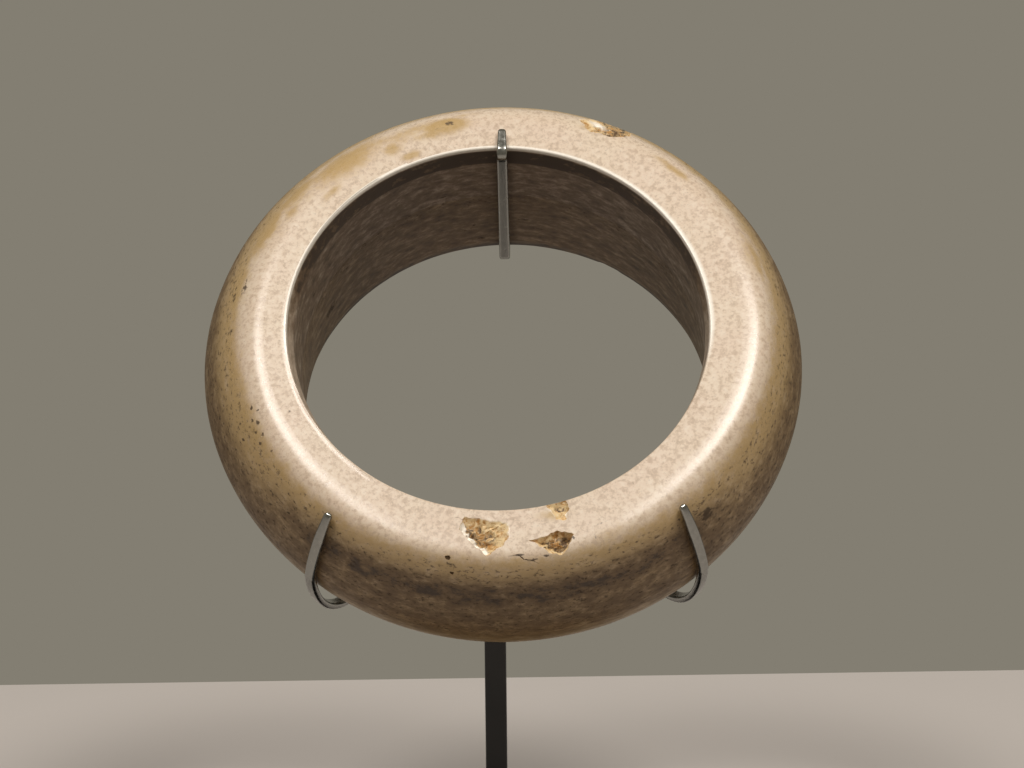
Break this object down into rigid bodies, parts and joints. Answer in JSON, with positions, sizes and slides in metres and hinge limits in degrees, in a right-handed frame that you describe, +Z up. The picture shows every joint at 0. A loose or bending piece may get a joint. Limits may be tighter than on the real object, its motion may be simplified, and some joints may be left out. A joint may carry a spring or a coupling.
{
  "type": "jade bracelet on a claw stand",
  "caption": "Thick pale jade ring bracelet with a D shaped section, chipped by age, leaning back in steel claws on a black post with a round foot.",
  "frame": {"origin": "middle of the foot's underside, on the post's axis", "axes": "+Z up, -Y towards the viewer and the side to which the bracelet's front face leans, +X to the viewer's right"},
  "size_m": [0.0839, 0.0843, 0.111],
  "materials": {
    "altered_jade": "worn polish, opaque cream with tan and brown stains",
    "polished_steel": "hand polished",
    "black_lacquer": "satin"
  },
  "bodies": {
    "root": {"bracelet": "altered_jade", "back_hoop": "polished_steel", "claw_top": "polished_steel", "claw_left": "polished_steel", "claw_right": "polished_steel", "post": "black_lacquer", "foot": "black_lacquer"}
  },
  "joints": []
}
